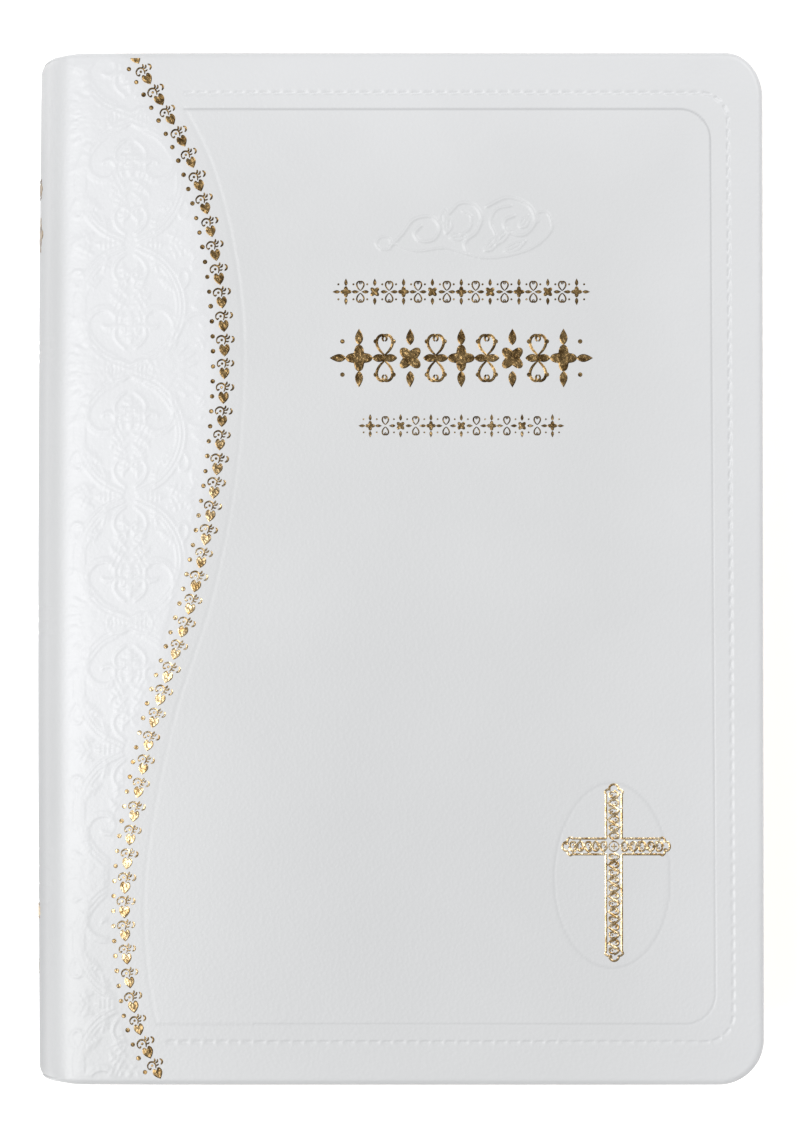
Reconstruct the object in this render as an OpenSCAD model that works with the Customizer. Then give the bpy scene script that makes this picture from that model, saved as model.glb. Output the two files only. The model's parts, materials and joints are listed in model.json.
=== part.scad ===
// Compact gift bible in a limp imitation-leather binding, lying flat on its back cover.
// +Z is up through the thickness, the spine is at -X, the fore-edge at +X and the head at +Y.
// The origin is under the middle of the whole book, on the surface that it lies on.

/* [Pages] */
// Width of a page, from the fold to the fore-edge
page_w = 131.5; // [100:0.5:200]
// Height of a page, from tail to head
page_h = 196; // [140:1:280]
// Thickness of the sewn page block
block_t = 28; // [16:0.5:60]
// Radius of the pages' corners at the fore-edge
page_corner_r = 6; // [1:0.5:14]
// How far the spine of the page block is rounded outwards
block_round = 4.5; // [3:0.1:5]
// Thickness of one leaf of endpaper
endpaper_t = 0.15; // [0.1:0.01:0.3]

/* [Covers] */
// How far a cover stands out past the pages at head, tail and fore-edge
square_w = 4; // [2:0.5:8]
// Thickness of the imitation leather
skin_t = 0.8; // [0.4:0.1:1.4]
// Thickness of the flexible board inside a cover
board_t = 1.2; // [0.6:0.1:3]
// Thickness of the leather where it is turned in over the board
turn_in_t = 0.3; // [0.2:0.05:0.6]
// Width of the leather turned in over the board
turn_in_w = 14; // [8:1:20]
// Radius of a cover's corners at the fore-edge
corner_r = 9; // [3:0.5:16]
// Distance from a cover's hinge line to the edge of its board
joint_w = 5; // [3:0.5:9]
// How far the pastedown stays inside a cover's edges
paste_margin = 3.5; // [2:0.5:7]

/* [Spine] */
// Hollow between the lined page block and the spine panel
hollow_t = 2.2; // [0.6:0.1:3]
// Thickness of the flexible strip inside the spine panel
inlay_t = 0.6; // [0.3:0.1:1.2]
// Thickness of the gauze glued over the sewn folds
mull_t = 0.2; // [0.15:0.05:0.4]
// Thickness of the paper lining on the gauze
lining_t = 0.4; // [0.2:0.05:0.8]
// Radius of the head and tail bands
band_r = 0.9; // [0.6:0.05:1.3]
// Rows of sewing across the folds
sewing_rows = 6; // [3:1:9]
// Radius of the sewing thread
thread_r = 0.1; // [0.06:0.01:0.12]

/* [Foil] */
// Thickness of the gold foil, drawn heavier than real foil
foil_t = 0.06; // [0.03:0.01:0.2]
// Distance between the hearts of the wavy border
heart_pitch = 4.65; // [3.5:0.05:8]
// Radius of each lobe of a heart
heart_lobe_r = 0.48; // [0.3:0.02:0.6]
// Distance of the border's dots from the line of hearts
border_dot_off = 2.2; // [1.6:0.1:3]
// Radius of the border's dots
border_dot_r = 0.34; // [0.2:0.02:0.5]
// Distance from the fore-edge to the middle of the cross
cross_from_edge = 29.6; // [20:0.2:45]
// Distance from the tail edge to the cross's crossing
cross_from_tail = 47; // [30:0.5:90]
// Height of the cross above its crossing
cross_up = 11.2; // [7:0.2:18]
// Height of the cross below its crossing
cross_down = 22.4; // [12:0.2:30]
// Half the span of the cross's arms
cross_arm = 10; // [6:0.2:14]
// Width of the cross's bars
cross_bar = 3.5; // [2:0.1:5]
// Distance from the head edge to the middle of the ornament panel
panel_from_head = 60; // [40:1:100]
// Distance from the hinge line to the middle of the ornament panel
panel_from_spine = 79; // [60:1:95]
// Half the width of the ornament panel
panel_half = 25; // [15:1:32]

/* [Clearances] */
// Gap between a cover's inside and the endpaper next to it
leaf_gap = 0.3; // [0.2:0.05:1]
// Gap between an endpaper and the first section
section_gap = 0.05; // [0.02:0.01:0.3]
// Gap between one section and the next
section_air = 0.02; // [0.01:0.01:0.1]
// Gap between the folds and the gauze, and between a cover and the spine panel
fold_gap = 0.3; // [0.25:0.05:0.6]

/* [Hidden] */
$fn = 96;
SECTIONS = 24;
// Sections that turn with each cover, counted from that cover
TURNING_SECTIONS = 5;
eps = 1;
function two_digits(i) = i < 10 ? str("0", i) : str(i);
SECTION_NAMES = [for (i = [1:SECTIONS]) str("section_", two_digits(i))];

// Thickness of a cover's leather parts, and of the cover with its pastedown
leather_t = skin_t + board_t + turn_in_t;
cover_t = leather_t + endpaper_t;
nose_r = leather_t / 2;

// Heights of the layers, from the outside of the back cover upwards
flyleaf_z = cover_t + leaf_gap;
block_z = flyleaf_z + endpaper_t + section_gap;
total_t = 2 * block_z + block_t;
mid_z = total_t / 2;
section_pitch = block_t / SECTIONS;
section_t = section_pitch - section_air;

// The rounded spine is one arc, measured from the hinge line, where x is 0
half_block = block_t / 2;
fold_r = (pow(half_block, 2) + pow(block_round, 2)) / (2 * block_round);
turning_half = half_block - TURNING_SECTIONS * section_pitch;
fold_clear = 0.1;
// How far the corner rounding runs out past the hollow fore-edge
corner_run_out = 0.25;
arc_x = sqrt(pow(fold_r, 2) - pow(turning_half, 2)) + fold_clear;
mull_r = fold_r + fold_gap;
lining_r = mull_r + mull_t;
inlay_r = lining_r + lining_t + hollow_t;
spine_skin_r = inlay_r + inlay_t;
spine_out_r = spine_skin_r + skin_t;
panel_half_t = mid_z - leather_t - fold_gap;
flyleaf_x = arc_x - sqrt(pow(fold_r, 2) - pow(half_block, 2));

// The covers run from the hinge line to past the fore-edge of the outermost pages
cover_w = flyleaf_x + page_w + square_w;
cover_h = page_h + 2 * square_w;
// Sideways move that puts the middle of the whole book over the origin
spine_reach = spine_out_r + foil_t - arc_x;
hinge_x = (spine_reach - cover_w) / 2;

// The wavy border: distance from the hinge line, and share of half the cover's height
BORDER = [[14, 1], [26, 0.775], [31.7, 0.51], [31.3, 0.235], [26.3, -0.046], [18, -0.312],
          [12.8, -0.608], [14.4, -0.848], [20.2, -1]];
hearts = floor(1.02 * cover_h / heart_pitch);
heart_edge = 1.6;

WHITE = "whitesmoke";
GOLD = "goldenrod";
PAPER = "ivory";
CARD = "tan";

// ---- shared shapes ----

// A cover's outline, from x0 to inset from the three free edges, with round corners at the fore-edge
module cover_outline(x0, inset) {
    w = cover_w - inset;
    h = cover_h - 2 * inset;
    r = max(corner_r - inset, 0.5);
    translate([x0, -h / 2 + r]) square([w - x0, h - 2 * r]);
    translate([x0, -h / 2]) square([w - x0 - r, h]);
    for (side = [-1, 1])
        translate([w - r, side * (h / 2 - r)]) circle(r);
}

// A layer of a cover, from z0 to z1, where 0 is the cover's outer face
module cover_layer(x0, inset, z0, z1) {
    translate([0, 0, z0]) linear_extrude(z1 - z0) cover_outline(x0, inset);
}

// Puts a cover's parts on the bottom or the top of the book
module on_back() { translate([hinge_x, 0, 0]) children(); }
module on_front() { translate([hinge_x, 0, total_t]) mirror([0, 0, 1]) children(); }

// A strip of the arc of the spine, between two radii, in a height band, along the given length
module spine_arc(r_in, r_out, half_t, length, y = 0) {
    translate([hinge_x + arc_x, y, mid_z]) intersection() {
        rotate([90, 0, 0]) difference() {
            cylinder(h = length, r = r_out, center = true);
            cylinder(h = length + 2 * eps, r = r_in, center = true);
        }
        translate([-r_out - eps, -length / 2 - eps, -half_t])
            cube([r_out, length + 2 * eps, 2 * half_t]);
    }
}

// A round cord that follows the arc of the spine
module spine_cord(r_arc, r_cord, half_t, y) {
    half_angle = asin(half_t / r_arc);
    translate([hinge_x + arc_x, y, mid_z]) rotate([90, 0, 0]) rotate([0, 0, 180 - half_angle])
        rotate_extrude(angle = 2 * half_angle) translate([r_arc, 0]) circle(r_cord, $fn = 24);
}

// ---- covers ----

// Leather with its three turned-in edges and the round edge that the cover hinges on
module cover_skin() {
    difference() {
        union() {
            cover_layer(0, 0, 0, leather_t);
            translate([0, 0, nose_r]) rotate([90, 0, 0]) cylinder(h = cover_h, r = nose_r, center = true);
        }
        cover_layer(joint_w, skin_t, skin_t, skin_t + board_t);
        cover_layer(joint_w, turn_in_w, skin_t, leather_t + eps);
    }
}

// Flexible board, cut to fill the leather's pocket
module cover_board() {
    cover_layer(joint_w, skin_t, skin_t, skin_t + board_t);
}

// Endpaper glued to the board and over the turned-in leather
module cover_pastedown() {
    cover_layer(joint_w, turn_in_w, skin_t + board_t, leather_t);
    cover_layer(joint_w, paste_margin, leather_t, cover_t);
}

module front_skin() { color(WHITE) on_front() cover_skin(); }
module front_board() { color(CARD) on_front() cover_board(); }
module front_pastedown() { color(PAPER) on_front() cover_pastedown(); }
module back_skin() { color(WHITE) on_back() cover_skin(); }
module back_board() { color(CARD) on_back() cover_board(); }
module back_pastedown() { color(PAPER) on_back() cover_pastedown(); }

// ---- page block ----

// What the corner rounding takes off at the fore-edge, where the pages end at x
module page_corners(x, z, t) {
    for (side = [-1, 1])
        translate([x - page_corner_r, side * (page_h / 2 - page_corner_r), z - eps])
            linear_extrude(t + 2 * eps) difference() {
                translate([0, side > 0 ? 0 : -page_corner_r - eps])
                    square([page_corner_r + eps, page_corner_r + eps]);
                circle(page_corner_r);
            }
}

// One leaf of endpaper, standing at height z
module flyleaf(z) {
    color(PAPER) translate([hinge_x + flyleaf_x, 0, 0]) difference() {
        translate([0, -page_h / 2, z]) cube([page_w, page_h, endpaper_t]);
        page_corners(page_w, z, endpaper_t);
    }
}

module front_flyleaf() { flyleaf(total_t - flyleaf_z - endpaper_t); }
module rear_flyleaf() { flyleaf(flyleaf_z); }

// One sewn section: number 1 is the top one, its fold and its fore-edge follow the spine's arc
module section(number) {
    z = block_z + block_t - number * section_pitch;
    outer_z = max(abs(z - mid_z), abs(z + section_t - mid_z));
    color(PAPER) translate([hinge_x + arc_x, 0, 0]) difference() {
        union() {
            intersection() {
                translate([0, 0, mid_z]) rotate([90, 0, 0]) cylinder(h = page_h, r = fold_r, center = true);
                translate([-fold_r - eps, -page_h / 2, z]) cube([fold_r + 2 * eps, page_h, section_t]);
            }
            translate([0, -page_h / 2, z]) cube([page_w, page_h, section_t]);
        }
        translate([page_w, 0, mid_z]) rotate([90, 0, 0])
            cylinder(h = page_h + 2 * eps, r = fold_r, center = true);
        page_corners(page_w - sqrt(pow(fold_r, 2) - pow(outer_z, 2)) + corner_run_out, z, section_t);
    }
}

module mull() { color("linen") spine_arc(mull_r, lining_r, half_block - mull_t, page_h - 24); }
module spine_lining() { color(CARD) spine_arc(lining_r, lining_r + lining_t, half_block - mull_t, page_h - 4); }

module end_band(side) {
    spine_cord(fold_r - band_r, band_r, half_block - band_r, side * (page_h / 2 + band_r + section_gap));
}

module headband() { color(WHITE) end_band(1); }
module tailband() { color(WHITE) end_band(-1); }

// Rows of thread that lie over the folds, under the gauze
module sewing_thread() {
    row_pitch = (page_h - 40) / (sewing_rows - 1);
    color(WHITE) for (i = [0:sewing_rows - 1])
        spine_cord(fold_r + fold_gap / 2, thread_r, half_block - 2 * section_pitch, (i - (sewing_rows - 1) / 2) * row_pitch);
}

// ---- spine panel ----

module spine_skin() {
    color(WHITE) difference() {
        spine_arc(inlay_r, spine_out_r, panel_half_t, cover_h);
        spine_arc(inlay_r - eps, spine_skin_r, panel_half_t + eps, cover_h - 2 * skin_t);
    }
}

module spine_inlay() { color(CARD) spine_arc(inlay_r, spine_skin_r, panel_half_t, cover_h - 2 * skin_t); }

// Gold blocks down the spine: share of half the cover's height, height, and half the width
SPINE_FOIL = [[0.745, 4, 7.5], [0.655, 7, 8.5], [0.27, 2.4, 1.6], [-0.67, 3, 6.5], [-0.78, 3, 3]];

module foil_spine() {
    color(GOLD) for (block = SPINE_FOIL)
        spine_arc(spine_out_r, spine_out_r + foil_t, block[2], block[1], block[0] * cover_h / 2);
}

// ---- gold foil on the front cover ----

// Smooth curve through the border's points: s runs from 0 to the number of stretches
function clamp_index(i) = min(max(i, 0), len(BORDER) - 1);
function border_knot(i) = [BORDER[clamp_index(i)][0], BORDER[clamp_index(i)][1] * cover_h / 2];
function through(a, b, c, d, t) =
    0.5 * (2 * b + (c - a) * t + (2 * a - 5 * b + 4 * c - d) * pow(t, 2) + (3 * b - a - 3 * c + d) * pow(t, 3));
function border_point(s) =
    let (i = min(floor(s), len(BORDER) - 2))
    through(border_knot(i - 1), border_knot(i), border_knot(i + 1), border_knot(i + 2), s - i);

// Places children at an even count of stops along the border, +Y along it and towards the head
module along_border(count) {
    last = len(BORDER) - 1;
    for (k = [0:count - 1]) {
        s = last * (k + 0.5) / count;
        here = border_point(s);
        ahead = border_point(s - 0.02);
        if (abs(here[1]) < cover_h / 2 - heart_edge)
            translate(here) rotate(atan2(ahead[1] - here[1], ahead[0] - here[0]) - 90) children();
    }
}

// A heart whose point looks to the tail
module heart() {
    for (side = [-1, 1])
        translate([side * heart_lobe_r * 0.8, 0.5]) circle(heart_lobe_r, $fn = 24);
    polygon([[-1.7 * heart_lobe_r, 0.3], [0, -1.1], [1.7 * heart_lobe_r, 0.3], [0, 0.7]]);
}

module on_front_face() { translate([hinge_x, 0, total_t]) linear_extrude(foil_t) children(); }

module foil_border() {
    color(GOLD) on_front_face() along_border(hearts) {
        heart();
        translate([-border_dot_off, 0.6]) circle(border_dot_r, $fn = 24);
    }
}

// A bar of the cross from its middle outwards, ending in a round lobe
module cross_limb(reach) {
    translate([-cross_bar / 2, 0]) square([cross_bar, reach]);
    translate([0, reach]) circle(cross_bar * 0.36);
}

module foil_cross() {
    color(GOLD) on_front_face()
        translate([cover_w - cross_from_edge, -cover_h / 2 + cross_from_tail]) {
            cross_limb(cross_up);
            rotate(180) cross_limb(cross_down);
            rotate(90) cross_limb(cross_arm);
            rotate(-90) cross_limb(cross_arm);
        }
}

// A row of lozenges, count of them, over the panel's width
module lozenge_row(count, half_diagonal, y, half_width) {
    pitch = 2 * half_width / (count - 1);
    for (i = [0:count - 1])
        translate([(i - (count - 1) / 2) * pitch, y]) rotate(45)
            square(half_diagonal * sqrt(2), center = true);
}

// Three rows of ornament: small, large, small
module foil_ornaments() {
    color(GOLD) on_front_face() translate([panel_from_spine, cover_h / 2 - panel_from_head]) {
        lozenge_row(9, 2.2, 12.5, panel_half - 2.2);
        lozenge_row(5, 5, 0, panel_half - 5);
        lozenge_row(7, 2, -13, panel_half - 6);
    }
}

front_skin();
front_board();
front_pastedown();
foil_border();
foil_ornaments();
foil_cross();
back_skin();
back_board();
back_pastedown();
front_flyleaf();
rear_flyleaf();
spine_skin();
spine_inlay();
foil_spine();
mull();
spine_lining();
headband();
tailband();
sewing_thread();
for (i = [1:SECTIONS]) section(i);
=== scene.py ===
"""Looks of a compact white imitation-leather bible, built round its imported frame.

Shapes are worked out in millimetres in the book's own coordinates, X from the hinge line,
Y from mid-height towards the head and Z up from the surface that the book lies on.
"""
import json
import math

import bmesh
import bpy
import numpy as np
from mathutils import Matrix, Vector

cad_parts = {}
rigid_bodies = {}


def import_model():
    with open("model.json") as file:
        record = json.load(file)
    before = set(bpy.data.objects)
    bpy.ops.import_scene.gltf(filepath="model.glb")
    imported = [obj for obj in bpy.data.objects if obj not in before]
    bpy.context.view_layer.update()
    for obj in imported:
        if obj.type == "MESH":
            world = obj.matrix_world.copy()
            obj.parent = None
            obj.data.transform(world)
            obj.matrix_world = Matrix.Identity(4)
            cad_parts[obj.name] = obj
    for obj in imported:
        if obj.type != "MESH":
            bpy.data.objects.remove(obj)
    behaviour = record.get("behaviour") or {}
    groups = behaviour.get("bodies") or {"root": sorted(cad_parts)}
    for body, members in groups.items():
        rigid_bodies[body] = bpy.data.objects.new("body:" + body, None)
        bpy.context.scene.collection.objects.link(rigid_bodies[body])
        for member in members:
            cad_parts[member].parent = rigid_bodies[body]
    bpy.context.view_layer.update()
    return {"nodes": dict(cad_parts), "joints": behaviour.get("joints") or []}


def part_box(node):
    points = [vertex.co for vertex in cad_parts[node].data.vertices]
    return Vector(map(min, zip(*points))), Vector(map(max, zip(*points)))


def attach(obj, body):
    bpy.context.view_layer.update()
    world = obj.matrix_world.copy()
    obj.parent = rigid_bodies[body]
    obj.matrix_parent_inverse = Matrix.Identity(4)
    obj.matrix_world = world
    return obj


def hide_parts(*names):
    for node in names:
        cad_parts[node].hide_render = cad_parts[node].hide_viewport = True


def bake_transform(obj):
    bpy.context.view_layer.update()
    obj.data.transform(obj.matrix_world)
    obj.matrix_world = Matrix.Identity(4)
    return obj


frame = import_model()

# ------------------------------------------------------------------ sizes from the frame, in mm

MM = 0.001
JOINTS = {joint["name"]: joint for joint in frame["joints"]}
HINGE_X = JOINTS["front_cover_hinge"]["pos_m"][0] / MM


def cad_box(node):
    """Lowest and highest corner of a CAD node, in mm, with X from the hinge line."""
    low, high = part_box(node)
    shift = np.array([HINGE_X, 0, 0])
    return np.array(low) / MM - shift, np.array(high) / MM - shift


SKIN_LOW, SKIN_HIGH = cad_box("front_skin")
SPINE_LOW = cad_box("spine_skin")[0]
COVER_W = SKIN_HIGH[0]
HALF_H = SKIN_HIGH[1]
TOP_Z = SKIN_HIGH[2]
MID_Z = TOP_Z / 2
LEATHER_T = SKIN_HIGH[2] - SKIN_LOW[2]

# ------------------------------------------------------------------ sizes of the visible finish

CORNER_R = 9.0          # cover corners at the fore-edge
HEAD_CORNER_W = 7.2     # the head's corner is a little tighter across
SPINE_R = 28.53         # outside of the spine panel
SPINE_SKIN_T = 1.4      # leather and inlay at the edge of the spine
SHOULDER_START = 12.0   # height over mid-thickness where the spine turns into the cover
SHOULDER_END = 6.0      # distance from the hinge line where the cover runs nearly flat
SPINE_BOW = 0.5         # how much slimmer the spine is at its ends
SPINE_END_R = 2.8       # round of the leather at the spine's head and tail
CROWN_W = 34.0          # width over which the cover sinks gently towards the spine
CROWN_DROP = 1.0        # how far it sinks there
WAVE_STRIP_END = 38.0    # the leather is meshed in strips: fine by the spine,
CENTRE_STRIP_END = 61.0  # then plain, then fine under the flourish, then to the fore-edge
ORNAMENT_STRIP_END = 99.0
FOIL_T = 0.075          # visible thickness of foil, heavier than real foil
FOIL_RIM = 0.8          # share of a filled shape inside its sloping rim

# Wavy border: distance from the hinge line, and share of half the cover's height
BORDER_KNOTS = [(14, 1), (26, 0.775), (31.7, 0.51), (31.3, 0.235), (26.3, -0.046), (18, -0.312),
                (12.8, -0.608), (14.4, -0.848), (20.2, -1)]
HEART_PITCH = 4.66      # step from heart to heart along the border
DOT_PITCH = 2.95        # step from bead to bead
DOT_OFFSET = 2.25       # how far the line of beads lies on the spine side of the border's line
BLIND_LINE_OFFSET = 3.8  # blind line beside the border, on its right

CROSS = (COVER_W - 29.6, -HALF_H + 47.0)   # middle of the cross's crossing
CROSS_UP = 11.2
CROSS_DOWN = 22.4
CROSS_ARM = 10.0
CROSS_BAR = 3.5
PANEL = (79.0, HALF_H - 60.0)              # middle of the ornament panel

SPINE_LINES = (45.5, 43.6, 41.7, -7.7, -10.2, -12.7, -56.0, -59.5, -63.0, -66.5)
FLOURISH_RISE = 0.2     # height of the blind flourish
FRAME_HEAD = HALF_H - 11.3   # blind line of the frame, by the head and by the tail
FRAME_TAIL = -HALF_H + 12.0
FRAME_LEAN = 0.4        # half of how far the frame's fore-edge side leans
HEART_SHIFT = -2.3      # how far hearts and beads are set along the border, head positive
BEAD_SHIFT = 0.75
BAND_TURN = 1.0         # one light and one dark turn of silk on the headband
DAMASK_MIDDLE = 13.6                       # mirror line of the embossed ribbons and wreaths
DAMASK_KNOTS = (-111.0, -61.0, -11.0, 39.0, 89.0)


# ------------------------------------------------------------------ small helpers

def smooth(t):
    """0 to 1 with level ends."""
    t = np.clip(t, 0, 1)
    return t * t * (3 - 2 * t)


def spline(knots, steps=24):
    """Smooth curve through the knots (centripetal enough for short, even knots)."""
    k = np.array(knots, float)
    k = np.vstack([2 * k[0] - k[1], k, 2 * k[-1] - k[-2]])
    t = np.linspace(0, 1, steps, endpoint=False)[:, None]
    parts = []
    for a, b, c, d in zip(k[:-3], k[1:-2], k[2:-1], k[3:]):
        parts.append(0.5 * (2 * b + (c - a) * t + (2 * a - 5 * b + 4 * c - d) * t ** 2
                            + (3 * b - a - 3 * c + d) * t ** 3))
    parts.append(k[-2][None])
    return np.vstack(parts)


def resample(points, spacing):
    """The polyline's points again, at even distances near spacing."""
    points = np.asarray(points, float)
    run = np.concatenate([[0], np.cumsum(np.linalg.norm(np.diff(points, axis=0), axis=1))])
    count = max(2, int(round(run[-1] / spacing)) + 1)
    at = np.linspace(0, run[-1], count)
    return np.column_stack([np.interp(at, run, points[:, k]) for k in range(points.shape[1])])


def to_mesh(name, points_mm, faces, material=None, shade_smooth=True):
    """A mesh object from points in book millimetres."""
    points = np.asarray(points_mm, float) + np.array([HINGE_X, 0, 0])
    mesh = bpy.data.meshes.new(name)
    mesh.from_pydata((points * MM).tolist(), [], [list(map(int, f)) for f in faces])
    mesh.polygons.foreach_set("use_smooth", [shade_smooth] * len(mesh.polygons))
    mesh.update()
    made = bpy.data.objects.new(name, mesh)
    bpy.context.scene.collection.objects.link(made)
    if material:
        mesh.materials.append(material)
    return made


def store(obj, name, values):
    """Keeps one number for each vertex, which a material can read."""
    layer = obj.data.attributes.new(name, "FLOAT", "POINT")
    layer.data.foreach_set("value", np.asarray(values, np.float32))


# ------------------------------------------------------------------ materials

def srgb(hex_text):
    """Linear RGBA of an sRGB hex colour."""
    parts = [int(hex_text[i:i + 2], 16) / 255 for i in (1, 3, 5)]
    return [p / 12.92 if p <= 0.04045 else ((p + 0.055) / 1.055) ** 2.4 for p in parts] + [1.0]


def add(tree, kind, links=None, **settings):
    """Adds a node. Settings are properties, or sockets when written as s_Name or s_Number."""
    node = tree.nodes.new(kind)
    for key, value in settings.items():
        if key.startswith("s_"):
            socket = key[2:]
            socket = int(socket) if socket.isdigit() else socket.replace("_", " ")
            node.inputs[socket].default_value = value
        else:
            setattr(node, key, value)
    for socket, source in (links or {}).items():
        tree.links.new(source, node.inputs[socket])
    return node


def new_material(name, **surface):
    """A material with a Principled surface, whose fixed values are set on its own sockets."""
    material = bpy.data.materials.new(name)
    material.use_nodes = True
    tree = material.node_tree
    shader = tree.nodes["Principled BSDF"]
    for key, value in surface.items():
        shader.inputs[key.replace("_", " ")].default_value = value
    return material, tree, shader


def per_mm(size):
    """Texture scale, in cells per metre, for cells of this many millimetres."""
    return 1 / (size * MM)


def two_tones(tree, value, low, high):
    """Colour that runs between two sRGB tones as a noise value goes from low to high."""
    ramp = add(tree, "ShaderNodeValToRGB", {"Fac": value})
    ramp.color_ramp.elements[0].position = 0.35
    ramp.color_ramp.elements[0].color = srgb(low)
    ramp.color_ramp.elements[1].position = 0.65
    ramp.color_ramp.elements[1].color = srgb(high)
    return ramp.outputs["Color"]


def leatherette():
    """Embossed polyurethane leather: a fine creased pebble, a soft satin coat and faint mottling."""
    material, tree, shader = new_material(
        "white_leatherette", IOR=1.5, Coat_Weight=0.22, Coat_Roughness=0.32, Sheen_Weight=0.05)
    place = add(tree, "ShaderNodeTexCoord").outputs["Object"]
    mottle = add(tree, "ShaderNodeTexNoise", {"Vector": place}, s_Scale=per_mm(26), s_Detail=3.0)
    plain = two_tones(tree, mottle.outputs["Fac"], "#C8C9CA", "#CACBCC")
    lightened_with_painted_highlight = two_tones(tree, mottle.outputs["Fac"], "#D2D3D5", "#D5D6D8")
    # Lighter leather where the mesh marks it: inside the border, and as a painted highlight towards the
    # head and the fore-edge.
    lighter_panel_and_painted_highlight = add(tree, "ShaderNodeAttribute", attribute_name="lighter_panel_and_painted_highlight").outputs["Fac"]
    tone = add(tree, "ShaderNodeMix", {"Factor": lighter_panel_and_painted_highlight, 6: plain, 7: lightened_with_painted_highlight}, data_type="RGBA")
    # Painted shade: a darker grey mixed in along the spine, low in the middle of the cover and in the
    # tooled lines.
    painted_shade = add(tree, "ShaderNodeAttribute", attribute_name="painted_shade").outputs["Fac"]
    with_painted_shade = add(tree, "ShaderNodeMix", {"Factor": painted_shade, 6: tone.outputs[2]}, data_type="RGBA",
                 s_7=srgb("#939496"))
    tree.links.new(with_painted_shade.outputs[2], shader.inputs["Base Color"])
    rough = add(tree, "ShaderNodeMapRange", {"Value": mottle.outputs["Fac"]},
                s_3=0.40, s_4=0.48)
    tree.links.new(rough.outputs["Result"], shader.inputs["Roughness"])
    warp = add(tree, "ShaderNodeTexNoise", {"Vector": place}, s_Scale=per_mm(1.6), s_Detail=2.0)
    bent = add(tree, "ShaderNodeMix", {4: place, 5: warp.outputs["Color"]},
               data_type="VECTOR", s_Factor=0.0006)
    pebble = add(tree, "ShaderNodeTexVoronoi", {"Vector": bent.outputs[1]},
                 feature="F1", s_Scale=per_mm(0.75))
    crease = add(tree, "ShaderNodeTexNoise", {"Vector": place},
                 s_Scale=per_mm(1.1), s_Detail=6.0, s_Roughness=0.62, s_Distortion=1.2)
    both = add(tree, "ShaderNodeMath", {0: pebble.outputs["Distance"], 1: crease.outputs["Fac"]},
               operation="ADD")
    bump = add(tree, "ShaderNodeBump", {"Height": both.outputs["Value"]},
               s_Strength=0.30, s_Distance=0.00010)
    tree.links.new(bump.outputs["Normal"], shader.inputs["Normal"])
    return material


def gold_foil():
    """Hot-stamped metallised foil: mirror gold broken into facets by the leather's grain, with a painted
    reflection that darkens it towards the head and the tail.
    """
    material, tree, shader = new_material("stamped_gold_foil", Metallic=1.0, Roughness=0.3)
    place = add(tree, "ShaderNodeTexCoord").outputs["Object"]
    worn = add(tree, "ShaderNodeTexNoise", {"Vector": place}, s_Scale=per_mm(1.4), s_Detail=4.0)
    # Painted reflection: darker gold towards the head and towards the tail, lighter between them.
    height = add(tree, "ShaderNodeSeparateXYZ", {"Vector": place}).outputs["Y"]
    by_head = add(tree, "ShaderNodeMapRange", {"Value": height},
                  interpolation_type="SMOOTHSTEP", s_1=-0.020, s_2=0.040).outputs["Result"]
    by_tail = add(tree, "ShaderNodeMapRange", {"Value": height},
                  interpolation_type="SMOOTHSTEP", s_1=-0.062, s_2=-0.098, s_4=0.95).outputs["Result"]
    painted_dark_reflection = add(tree, "ShaderNodeMath", {0: by_head, 1: by_tail}, operation="MAXIMUM").outputs["Value"]
    lit_gold_tones = two_tones(tree, worn.outputs["Fac"], "#A28354", "#DFCBA6")
    shaded_gold_tones = two_tones(tree, worn.outputs["Fac"], "#523F25", "#8E7650")
    tone = add(tree, "ShaderNodeMix", {"Factor": painted_dark_reflection, 6: lit_gold_tones, 7: shaded_gold_tones}, data_type="RGBA")
    tree.links.new(tone.outputs[2], shader.inputs["Base Color"])
    facets = add(tree, "ShaderNodeTexVoronoi", {"Vector": place}, feature="F1", s_Scale=per_mm(0.8))
    grit = add(tree, "ShaderNodeTexNoise", {"Vector": place}, s_Scale=per_mm(0.5), s_Detail=3.0)
    both = add(tree, "ShaderNodeMath", {0: facets.outputs["Distance"], 1: grit.outputs["Fac"]},
               operation="ADD")
    bump = add(tree, "ShaderNodeBump", {"Height": both.outputs["Value"]},
               s_Strength=0.7, s_Distance=0.00012)
    tree.links.new(bump.outputs["Normal"], shader.inputs["Normal"])
    return material


def plain_fibre(name, low, high, grain_mm, roughness, depth_mm):
    """Paper, board, gauze or thread: a matt surface with a fibre pattern in two near tones."""
    material, tree, shader = new_material(name, Roughness=roughness)
    place = add(tree, "ShaderNodeTexCoord").outputs["Object"]
    fibre = add(tree, "ShaderNodeTexNoise", {"Vector": place}, s_Scale=per_mm(grain_mm), s_Detail=5.0)
    tree.links.new(two_tones(tree, fibre.outputs["Fac"], low, high), shader.inputs["Base Color"])
    bump = add(tree, "ShaderNodeBump", {"Height": fibre.outputs["Fac"]},
               s_Strength=0.5, s_Distance=depth_mm * MM)
    tree.links.new(bump.outputs["Normal"], shader.inputs["Normal"])
    return material


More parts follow.
